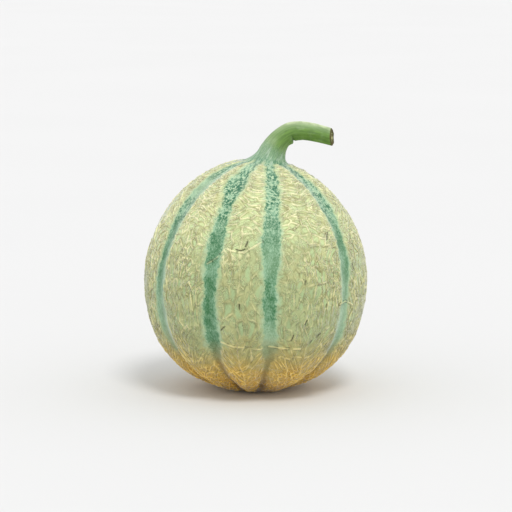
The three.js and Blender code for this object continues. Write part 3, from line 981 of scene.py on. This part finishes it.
def stem_marks(fruit, net, stem, angle, shaft_share, inwards, crease, rim_noise):
    """The marks of the stem's rings. The skin's marks fade out up the shaft."""
    none = np.zeros(len(angle))
    up = np.linspace(0.0, 1.0, FLARE_ROWS)[:, None]
    shaft = shaft_share[:, None]
    outer = 0.5 - 0.5 * np.cos(angle)
    no_flare, no_shaft, no_cut = 0.0 * up, 0.0 * shaft, 0.0 * inwards

    def joined(on_flare, on_shaft, on_cut):
        """A mark's values on the flare, the shaft and the cut end."""
        return np.concatenate([on_flare + none, on_shaft + none, on_cut + none])

    run_out = smooth_step(0.4, SHAFT_START, shaft)
    flare = flare_marks(fruit, net, stem, angle)
    marks = {mark: joined(values, values[-1] * run_out, no_cut) for mark, values in flare.items()}
    grown = 0.6 + 0.4 * smooth_step(SHAFT_START, 0.3, shaft)
    marks["shaft"] = joined(0.6 * smooth_step(0.3, 1.0, up), grown, 1.0 + no_cut)
    neck = 0.06 + 0.66 * smooth_step(0.42, 0.85, outer)
    # The back band is a painted highlight along the top of the arm; the bloom mark joins it to the real grey
    # bloom of the neck.
    back = 0.45 * smooth_step(0.6, 0.95, outer)
    bloom = np.maximum(smooth_step(0.45, 0.14, shaft) * neck, back)
    marks["bloom"] = joined(np.maximum(neck, back) + no_flare, bloom, no_cut)
    # Painted highlight: a pale strip along the top of the arm.
    marks["painted_highlight"] = joined(no_flare, smooth_step(0.3, 0.5, shaft) * smooth_step(0.82, 1.0, outer), no_cut)
    marks["crease"] = joined(no_flare, crease, no_cut)
    marks["foot"] = joined(smooth_step(0.0, 0.5, up), smooth_step(0.24, SHAFT_START, shaft), no_cut)
    rim = smooth_step(0.5 + 0.25 * rim_noise, 0.2, inwards)
    marks["rim"] = joined(no_flare, 0.9 * smooth_step(0.985, 1.0, shaft), np.maximum(rim, 0.12))
    marks["pith"] = joined(no_flare, no_shaft, 1.0 - rim)
    return marks


def socket(value, tree, target):
    """Links an output to an input, or sets the input's own value."""
    if isinstance(value, bpy.types.NodeSocket):
        tree.links.new(value, target)
    else:
        target.default_value = (*value, 1.0) if target.type == "RGBA" and len(value) == 3 else value


def node(tree, kind, inputs=None, **settings):
    """A node with its settings made, and its inputs linked or set by name or number."""
    made = tree.nodes.new(kind)
    for name, value in settings.items():
        setattr(made, name, value)
    for name, value in (inputs or {}).items():
        socket(value, tree, made.inputs[name])
    return made


def mixed(tree, share, first, second):
    """The colour between two colours."""
    return node(tree, "ShaderNodeMix", {0: share, 6: first, 7: second}, data_type="RGBA").outputs[2]


def figured(tree, operation, first, second, clamp=False):
    """The result of one sum on numbers."""
    made = node(tree, "ShaderNodeMath", {0: first, 1: second}, operation=operation, use_clamp=clamp)
    return made.outputs[0]


def times(tree, first, second):
    """The product of two numbers."""
    return figured(tree, "MULTIPLY", first, second)


def plus(tree, first, second, clamp=False):
    """The sum of two numbers."""
    return figured(tree, "ADD", first, second, clamp)


def minus(tree, first, second, clamp=False):
    """The difference of two numbers."""
    return figured(tree, "SUBTRACT", first, second, clamp)


def swung(tree, value, much):
    """How far a number from 0 to 1 is off its middle, times a factor."""
    return times(tree, minus(tree, value, 0.5), much)


def ranged(tree, value, low, high, to_low=0.0, to_high=1.0):
    """A number from one range carried smoothly to another."""
    inputs = {"Value": value, "From Min": low, "From Max": high, "To Min": to_low, "To Max": to_high}
    return node(tree, "ShaderNodeMapRange", inputs, interpolation_type="SMOOTHSTEP").outputs["Result"]


def mark(tree, name):
    """A mark of the mesh, as a number."""
    return node(tree, "ShaderNodeAttribute", attribute_name=name).outputs["Fac"]


def noise(tree, place, size, detail=2.0, roughness=0.5):
    """Noise from 0 to 1 with features of this size."""
    inputs = {"Vector": place, "Scale": 1.0 / size, "Detail": detail, "Roughness": roughness}
    return node(tree, "ShaderNodeTexNoise", inputs).outputs["Fac"]


def new_group(name, inputs, outputs):
    """An empty node group with named inputs and outputs."""
    group = bpy.data.node_groups.new(name, "ShaderNodeTree")
    for label, kind, default in inputs:
        made = group.interface.new_socket(name=label, in_out="INPUT", socket_type=kind)
        if default is not None:
            made.default_value = default
    for label, kind in outputs:
        group.interface.new_socket(name=label, in_out="OUTPUT", socket_type=kind)
    return group, group.nodes.new("NodeGroupInput").outputs, group.nodes.new("NodeGroupOutput").inputs


def grain_group():
    """Fine grain: a bump made of noise."""
    group, given, gives = new_group(
        "Melon grain",
        [
            ("Place", "NodeSocketVector", None),
            ("Size", "NodeSocketFloat", 0.5 * MM),
            ("Depth", "NodeSocketFloat", 0.05 * MM),
        ],
        [("Normal", "NodeSocketVector")],
    )
    scale = figured(group, "DIVIDE", 1.0, given["Size"])
    inputs = {"Vector": given["Place"], "Scale": scale, "Detail": 3.0, "Roughness": 0.6}
    texture = node(group, "ShaderNodeTexNoise", inputs).outputs["Fac"]
    bump = node(group, "ShaderNodeBump", {"Strength": 1.0, "Distance": given["Depth"], "Height": texture})
    group.links.new(bump.outputs["Normal"], gives["Normal"])
    return group


def rind_colour_group(colours):
    """The colour of the rind from its marks: net, then stripes, then cracks.

    Hair-fine strands lie along the borders of small uneven cells on the net's chart. Painted shade darkens
    the feet of the cords and a band beside the strands. A stripe's dark flecks are where the sum of noises,
    the stretch's tone and the depth in the stripe is over 0. Low down the stripes turn into brown furrows.
    The busier net and the blossom end are made lighter, partly as painted light.
    """
    group, given, gives = new_group(
        "Melon rind colour",
        [("Place", "NodeSocketVector", None), ("Fleck place", "NodeSocketVector", None)]
        + [(label, "NodeSocketFloat", 0.0) for label in RIND_MARKS],
        [("Color", "NodeSocketColor"), ("Gloss", "NodeSocketFloat"), ("Height", "NodeSocketFloat")],
    )
    place = given["Place"]
    height = node(group, "ShaderNodeSeparateXYZ", {"Vector": place}).outputs["Z"]
    cloud = noise(group, place, 14 * MM)
    drifting = plus(group, height, swung(group, cloud, 0.024))
    high = ranged(group, drifting, 0.062, 0.118)
    low = ranged(group, drifting, 0.045, 0.003)
    broad = noise(group, place, 4 * MM, 3.0)
    fine = noise(group, place, 0.9 * MM, 3.0, 0.6)

    def by_height(middle, top, bottom):
        """The colour between three colours, by height over the floor."""
        return mixed(group, low, mixed(group, high, middle, top), bottom)

    chart = node(group, "ShaderNodeCombineXYZ", {"X": given["net_x"], "Y": given["net_y"]}).outputs["Vector"]
    border = node(
        group,
        "ShaderNodeTexVoronoi",
        {"Vector": chart, "Scale": 2.3, "Randomness": 0.95},
        voronoi_dimensions="2D",
        feature="DISTANCE_TO_EDGE",
    ).outputs["Distance"]
    near_top = ranged(group, height, 0.08, 0.125)
    plain = times(group, figured(group, "MINIMUM", given["tone"], 0.0), 5.0)
    near_top = times(group, near_top, plus(group, 1.0, plain, clamp=True))
    kept = times(group, ranged(group, broad, 0.38, 0.56), given["net"])
    kept = times(group, kept, ranged(group, near_top, 0.0, 0.8, 0.8, 0.55))
    kept = times(group, kept, ranged(group, given["quiet"], 0.0, 1.0, 1.0, 0.75))
    kept = times(group, kept, ranged(group, low, 0.0, 0.8, 1.0, 0.4))
    kept = times(group, kept, minus(group, 1.0, times(group, given["bare"], 0.8)))
    hair = times(group, ranged(group, border, 0.13, 0.05), kept)
    # beside is a band just outside the fine strands: a groove in the relief, darkened in colour as painted
    # shade.
    beside = times(group, ranged(group, border, 0.24, 0.17), ranged(group, border, 0.1, 0.16))
    beside = times(group, times(group, beside, kept), ranged(group, fine, 0.4, 0.55))

    cork = by_height(colours.cork_middle, colours.cork_high, colours.cork_low)
    cover = by_height(colours.cover_middle, colours.cover_high, colours.cover_low)
    skin = by_height(colours.skin_middle, colours.skin_high, colours.skin_low)
    edge = by_height(colours.edge, colours.edge_high, colours.furrow_low)
    patch = ranged(group, broad, 0.4, 0.62)
    tinted = ranged(group, noise(group, place, 24 * MM), 0.4, 0.62, 0.0, 0.35)
    ground = mixed(group, times(group, patch, 0.55), cover, skin)
    ground = mixed(group, tinted, ground, skin)
    ground = mixed(group, given["bare"], ground, skin)
    # Painted shade: the foot of each cord is darkened towards the seam colour.
    foot = times(group, ranged(group, given["cord"], 0.0, 0.08), ranged(group, given["cord"], 0.4, 0.12))
    foot = times(group, foot, ranged(group, given["quiet"], 0.0, 1.0, 0.34, 0.14))
    ground = mixed(group, foot, ground, edge)
    ground = mixed(group, times(group, hair, 0.65), ground, cork)
    ground = mixed(group, times(group, beside, 0.55), ground, edge)
    crest = ranged(group, plus(group, given["cord"], times(group, fine, 0.3)), 0.28, 0.85)
    ground = mixed(group, crest, ground, cork)
    ground = mixed(group, times(group, ranged(group, fine, 0.55, 0.75), 0.22), ground, edge)
    seamed = times(group, given["seam"], ranged(group, low, 0.0, 1.0, 0.85, 0.45))
    ground = mixed(group, seamed, ground, edge)

    # The value is raised where the net is busy, partly to even out its dark lines and partly as painted light
    # that brightens the busy ribs at the fruit's sides; towards the blossom end it is raised a little more, as
    # painted light against the shade near the floor.
    brightness = ranged(group, given["quiet"], 0.0, 1.0, 1.15, 1.01)
    brightness = plus(group, brightness, ranged(group, low, 0.0, 1.0, 0.0, 0.03))
    ground = node(group, "ShaderNodeHueSaturation", {"Value": brightness, "Color": ground}).outputs["Color"]

    fleck_place = given["Fleck place"]
    fleck = noise(group, fleck_place, 0.75 * MM, 3.0, 0.75)
    large = noise(group, fleck_place, 1.3 * MM, 3.0, 0.75)
    speckle = node(group, "ShaderNodeMix", {0: near_top, 2: fleck, 3: large}, data_type="FLOAT").outputs[0]
    contrast = ranged(group, near_top, 0.0, 1.0, 0.26, 0.08)
    core = times(group, minus(group, given["stripe"], 0.8), 0.4)
    core = times(group, core, ranged(group, near_top, 0.2, 1.0, 1.0, -0.6))
    clouded = swung(group, noise(group, fleck_place, 5 * MM), 0.9)
    speckled = swung(group, speckle, 1.5)
    toned = plus(group, given["tone"], times(group, plain, -0.1))
    level = plus(group, speckled, toned)
    level = plus(group, plus(group, level, core), clouded)
    inputs = {"Value": level, "From Min": times(group, contrast, -1.0), "From Max": contrast}
    dark = node(group, "ShaderNodeMapRange", inputs).outputs["Result"]
    deep = mixed(group, near_top, colours.stripe_dark, colours.stripe_deep)
    band = mixed(group, dark, colours.stripe_light, deep)
    band = mixed(group, times(group, plain, -0.55), band, colours.margin_high)
    pale = times(group, ranged(group, speckle, 0.52, 0.42), near_top)
    band = mixed(group, times(group, pale, 0.65), band, colours.margin_high)
    band_low = ranged(group, drifting, 0.044, 0.016)
    brown = mixed(group, ranged(group, drifting, 0.02, 0.004), colours.furrow_low, colours.furrow_last)
    brown = mixed(group, times(group, dark, 0.45), brown, colours.furrow_last)
    brown = mixed(group, ranged(group, fine, 0.45, 0.62, 0.0, 0.4), brown, cover)
    band = mixed(group, band_low, band, brown)
    margin = mixed(group, band_low, mixed(group, near_top, colours.stripe_margin, colours.margin_high), cover)
    uncovered = minus(group, 1.0, times(group, given["cord"], 0.85), clamp=True)
    stippled = plus(group, given["stripe"], swung(group, fleck, 1.1))
    edged = ranged(group, stippled, 0.15, 0.7)
    edged = times(group, edged, ranged(group, band_low, 0.0, 1.0, 1.0, 0.8))
    stripe = figured(group, "MAXIMUM", edged, given["collar"])
    washed = times(group, given["margin"], ranged(group, broad, 0.35, 0.65, 0.85, 0.3))
    washed = times(group, washed, ranged(group, cloud, 0.42, 0.6, 0.4, 1.0))
    ground = mixed(group, times(group, washed, uncovered), ground, margin)
    ground = mixed(group, times(group, stripe, uncovered), ground, band)
    ground = mixed(group, times(group, given["crack"], 0.92), ground, colours.crack)
    group.links.new(ground, gives["Color"])
    relief = minus(group, hair, times(group, beside, 0.6))
    group.links.new(plus(group, relief, times(group, fine, 0.4)), gives["Height"])
    rough = plus(group, 0.5, times(group, given["cord"], 0.22))
    group.links.new(plus(group, rough, times(group, fine, 0.12)), gives["Gloss"])
    return group


def new_material(name):
    """A material with only a shader and its output."""
    material = bpy.data.materials.new(name)
    material.use_nodes = True
    tree = material.node_tree
    shader = tree.nodes["Principled BSDF"]
    place = node(tree, "ShaderNodeTexCoord").outputs["Object"]
    return material, tree, shader, place


def rind_from_marks(tree, place, rind_colour):
    """The rind's colour and gloss from the marks of the mesh."""
    fleck_marks = {axis: mark(tree, name) for axis, name in zip("XYZ", FLECK_MARKS)}
    fleck_place = node(tree, "ShaderNodeCombineXYZ", fleck_marks).outputs["Vector"]
    inputs = {label: mark(tree, label) for label in RIND_MARKS}
    return node_group(tree, rind_colour, place, {"Fleck place": fleck_place, **inputs})


def node_group(tree, group, place, inputs):
    """A node group put to use at a place."""
    made = tree.nodes.new("ShaderNodeGroup")
    made.node_tree = group
    socket(place, tree, made.inputs["Place"])
    for name, value in inputs.items():
        socket(value, tree, made.inputs[name])
    return made


def rind_material(rind_colour):
    """The netted rind, with a soft sheen at its edges."""
    material, tree, shader, place = new_material("Melon rind")
    rind = rind_from_marks(tree, place, rind_colour)
    bump = node(tree, "ShaderNodeBump", {"Distance": 0.3 * MM, "Height": rind.outputs["Height"]})
    tree.links.new(rind.outputs["Color"], shader.inputs["Base Color"])
    tree.links.new(rind.outputs["Gloss"], shader.inputs["Roughness"])
    tree.links.new(bump.outputs["Normal"], shader.inputs["Normal"])
    shader.inputs["Specular IOR Level"].default_value = 0.4
    shader.inputs["Sheen Weight"].default_value = 0.85
    shader.inputs["Sheen Roughness"].default_value = 0.35
    return material


def scar_material(colours, grain):
    """Rough brown cork, darker in its hollow middle, at its rim and in rough patches."""
    material, tree, shader, place = new_material("Melon scar")
    tone = noise(tree, place, 1.2 * MM, 4.0, 0.6)
    cork = mixed(tree, tone, colours.cork_low, colours.furrow_low)
    cork = mixed(tree, mark(tree, "crack"), cork, colours.crack)
    fine = node_group(tree, grain, place, {"Size": 0.4 * MM, "Depth": 0.16 * MM})
    tree.links.new(cork, shader.inputs["Base Color"])
    tree.links.new(fine.outputs["Normal"], shader.inputs["Normal"])
    shader.inputs["Roughness"].default_value = 0.8
    return material


def stem_material(colours, rind_colour, grain):
    """Green stalk with streaks along it, a grey bloom on its neck, a painted highlight along the top of its
    arm, painted shade in the fold inside its bend, and a dried rim round pale pith.
    """
    material, tree, shader, place = new_material("Melon stem")
    rind = rind_from_marks(tree, place, rind_colour)
    on_map = node(tree, "ShaderNodeUVMap", uv_map="OFBake").outputs["UV"]
    stretched = node(tree, "ShaderNodeVectorMath", {0: on_map, 1: STREAK_SCALE}, operation="MULTIPLY")
    inputs = {"Vector": stretched.outputs[0], "Scale": 1.0, "Detail": 3.0}
    streak = node(tree, "ShaderNodeTexNoise", inputs).outputs["Fac"]
    blotch = noise(tree, place, 5 * MM, 3.0)
    green = mixed(tree, ranged(tree, streak, 0.35, 0.7, 0.0, 0.65), colours.stem_green, colours.stem_dark)
    green = mixed(tree, ranged(tree, blotch, 0.5, 0.75, 0.0, 0.2), green, colours.stem_bloom)
    # The bloom mark is real grey bloom on the neck, and painted highlight along the top of the arm.
    veiled = times(tree, mark(tree, "bloom"), ranged(tree, streak, 0.75, 0.3, 0.55, 1.0))
    green = mixed(tree, veiled, green, colours.stem_bloom)
    # Painted highlight along the top of the arm, in the pale stem colour.
    painted_highlight = times(tree, mark(tree, "painted_highlight"), ranged(tree, blotch, 0.35, 0.6, 0.35, 0.8))
    green = mixed(tree, painted_highlight, green, colours.stem_painted_highlight)
    # Painted shade: the fold inside the bend is darkened.
    green = mixed(tree, times(tree, mark(tree, "crease"), 0.85), green, colours.stem_dark)
    dried = ranged(tree, noise(tree, place, 1.3 * MM, 3.0), 0.4, 0.6)
    pith = mixed(tree, dried, colours.pith, colours.cut_rim)
    pale_streak = times(tree, ranged(tree, streak, 0.52, 0.66), mark(tree, "foot"))
    colour = mixed(tree, mark(tree, "shaft"), rind.outputs["Color"], green)
    colour = mixed(tree, times(tree, mark(tree, "foot"), 0.38), colour, colours.stem_foot)
    colour = mixed(tree, times(tree, pale_streak, 0.4), colour, colours.stem_streak)
    colour = mixed(tree, mark(tree, "pith"), colour, pith)
    colour = mixed(tree, mark(tree, "rim"), colour, colours.cut_rim)
    fine = node_group(tree, grain, place, {"Size": 0.7 * MM, "Depth": 0.05 * MM})
    tree.links.new(colour, shader.inputs["Base Color"])
    tree.links.new(fine.outputs["Normal"], shader.inputs["Normal"])
    tree.links.new(ranged(tree, mark(tree, "rim"), 0.0, 1.0, 0.42, 0.85), shader.inputs["Roughness"])
    return material


def floor_material():
    """Plain pale grey, hardly uneven."""
    material, tree, shader, place = new_material("Stage floor")
    tone = noise(tree, place, FLOOR_NOISE, 1.0)
    tree.links.new(mixed(tree, tone, *FLOOR_TONES), shader.inputs["Base Color"])
    shader.inputs["Roughness"].default_value = 0.9
    shader.inputs["Specular IOR Level"].default_value = 0.1
    return material


def shared_groups(colours):
    """The node groups that several materials use, made once."""
    if "Melon grain" not in bpy.data.node_groups:
        grain_group()
        rind_colour_group(colours)
    return bpy.data.node_groups["Melon rind colour"], bpy.data.node_groups["Melon grain"]


class MELON_OT_make_ribs(bpy.types.Operator):
    """Makes the fruit's ribs, with their net and stripes"""

    bl_idname = "melon.make_ribs"
    bl_label = "Make ribs"

    def execute(self, context):
        scene = context.scene
        rind_colour, _ = shared_groups(scene.melon_colours)
        material = rind_material(rind_colour)
        for rib in range(len(SUTURES)):
            mesh = rib_mesh(scene.melon_fruit, scene.melon_net, rib)
            show(mesh.name, mesh, material, ["fruit"])
        return {"FINISHED"}


class MELON_OT_make_scar(bpy.types.Operator):
    """Makes the blossom scar under the fruit"""

    bl_idname = "melon.make_scar"
    bl_label = "Make blossom scar"

    def execute(self, context):
        scene = context.scene
        _, grain = shared_groups(scene.melon_colours)
        mesh = scar_mesh(scene.melon_fruit, scene.melon_net)
        show(mesh.name, mesh, scar_material(scene.melon_colours, grain), ["fruit"])
        return {"FINISHED"}


class MELON_OT_make_stem(bpy.types.Operator):
    """Makes the stem with its flare and cut end"""

    bl_idname = "melon.make_stem"
    bl_label = "Make stem"

    def execute(self, context):
        scene = context.scene
        mesh = stem_mesh(scene.melon_fruit, scene.melon_net, scene.melon_stem)
        material = stem_material(scene.melon_colours, *shared_groups(scene.melon_colours))
        show("stalk", mesh, material, ["stem"])
        return {"FINISHED"}


FLOOR_SIDES = 96
FLOOR_DROP = 0.1 * MM
FLOOR_NOISE = 0.4
FLOOR_TONES = ((0.73, 0.73, 0.73), (0.75, 0.75, 0.75))
MIDDLE_PIXEL = (255.5, 278.3)
PICTURE_PIXELS = 512
SENSOR = 36.0
OVERHEAD_FROM = (0.2, -0.6, 1.0)


def aimed(name, data, place, target):
    """An object at a place, looking at a target."""
    thing = bpy.data.objects.new(name, data)
    bpy.context.scene.collection.objects.link(thing)
    thing.location = place
    thing.rotation_euler = (Vector(target) - Vector(place)).to_track_quat("-Z", "Y").to_euler()
    return thing


class MELON_OT_make_stage(bpy.types.Operator):
    """Makes the floor, the lights and the camera"""

    bl_idname = "melon.make_stage"
    bl_label = "Make stage"

    def execute(self, context):
        scene = context.scene
        stage = scene.melon_stage
        middle = Vector((0.0, 0.0, middle_height(scene.melon_fruit)))
        self.make_floor(scene, stage)
        self.make_lights(scene, stage, middle)
        self.make_camera(scene, stage, middle)
        return {"FINISHED"}

    def make_floor(self, scene, stage):
        """A wide round floor, just under the fruit."""
        angle = np.arange(FLOOR_SIDES) / FLOOR_SIDES * FULL_TURN
        points = np.stack([np.cos(angle), np.sin(angle), np.zeros(FLOOR_SIDES)], axis=-1) * stage.floor_radius
        points[:, 2] = -FLOOR_DROP
        mesh = bpy.data.meshes.new("floor")
        mesh.from_pydata(points.tolist(), [], [list(range(FLOOR_SIDES))])
        mesh.materials.append(floor_material())
        floor = bpy.data.objects.new("floor", mesh)
        scene.collection.objects.link(floor)

    def make_lights(self, scene, stage, middle):
        """A white sky, and a wide soft light from over the camera."""
        world = bpy.data.worlds.new("Stage sky")
        world.use_nodes = True
        world.node_tree.nodes["Background"].inputs["Color"].default_value = (1.0, 1.0, 1.0, 1.0)
        world.node_tree.nodes["Background"].inputs["Strength"].default_value = stage.sky
        scene.world = world
        lamp = bpy.data.lights.new("overhead", "SUN")
        lamp.energy = stage.overhead
        lamp.angle = stage.softness
        aimed("overhead", lamp, middle + Vector(OVERHEAD_FROM), middle)
        scene.view_settings.view_transform = "Standard"

    def make_camera(self, scene, stage, middle):
        """A camera that puts the fruit's middle on its pixel in the photograph."""
        lens = bpy.data.cameras.new("camera")
        lens.sensor_width = SENSOR
        lens.lens = SENSOR * stage.camera_distance / stage.frame_width
        lens.clip_end = 2 * stage.floor_radius
        back = Vector((0.0, -np.cos(stage.camera_height), np.sin(stage.camera_height)))
        right = Vector((1.0, 0.0, 0.0))
        up = right.cross(-back)
        pixel = stage.frame_width / PICTURE_PIXELS
        aside = (PICTURE_PIXELS / 2 - MIDDLE_PIXEL[0]) * pixel
        above = (MIDDLE_PIXEL[1] - PICTURE_PIXELS / 2) * pixel
        target = middle + aside * right + above * up
        scene.camera = aimed("camera", lens, middle + back * stage.camera_distance, target)


class MELON_PT_panel(bpy.types.Panel):
    """The melon's settings and steps"""

    bl_idname = "MELON_PT_panel"
    bl_label = "Netted melon"
    bl_space_type = "VIEW_3D"
    bl_region_type = "UI"
    bl_category = "Melon"

    def draw(self, context):
        """A box for each group of settings."""
        for group_name, operator in PANEL_ROWS:
            settings = getattr(context.scene, group_name)
            box = self.layout.box()
            for name in settings.__annotations__:
                box.prop(settings, name)
            if operator is not None:
                box.operator(operator)
        self.layout.operator(MELON_OT_make_scar.bl_idname)


PANEL_ROWS = (
    ("melon_fruit", "melon.make_ribs"),
    ("melon_net", None),
    ("melon_stem", "melon.make_stem"),
    ("melon_colours", None),
    ("melon_stage", "melon.make_stage"),
)
SETTINGS = {
    "melon_fruit": MelonFruitSettings,
    "melon_net": MelonNetSettings,
    "melon_stem": MelonStemSettings,
    "melon_colours": MelonColourSettings,
    "melon_stage": MelonStageSettings,
}
CLASSES = (MELON_OT_make_ribs, MELON_OT_make_scar, MELON_OT_make_stem, MELON_OT_make_stage, MELON_PT_panel)


def register():
    """Adds the settings to the scene, and the operators and the panel to Blender."""
    for name, settings in SETTINGS.items():
        bpy.utils.register_class(settings)
        setattr(bpy.types.Scene, name, PointerProperty(type=settings))
    for made in CLASSES:
        bpy.utils.register_class(made)


def unregister():
    """Takes them away again."""
    for made in reversed(CLASSES):
        bpy.utils.unregister_class(made)
    for name, settings in reversed(SETTINGS.items()):
        delattr(bpy.types.Scene, name)
        bpy.utils.unregister_class(settings)


def main():
    """Makes the melon and its stage."""
    register()
    bpy.ops.melon.make_ribs()
    bpy.ops.melon.make_scar()
    bpy.ops.melon.make_stem()
    bpy.ops.melon.make_stage()


if __name__ == "__main__":
    main()
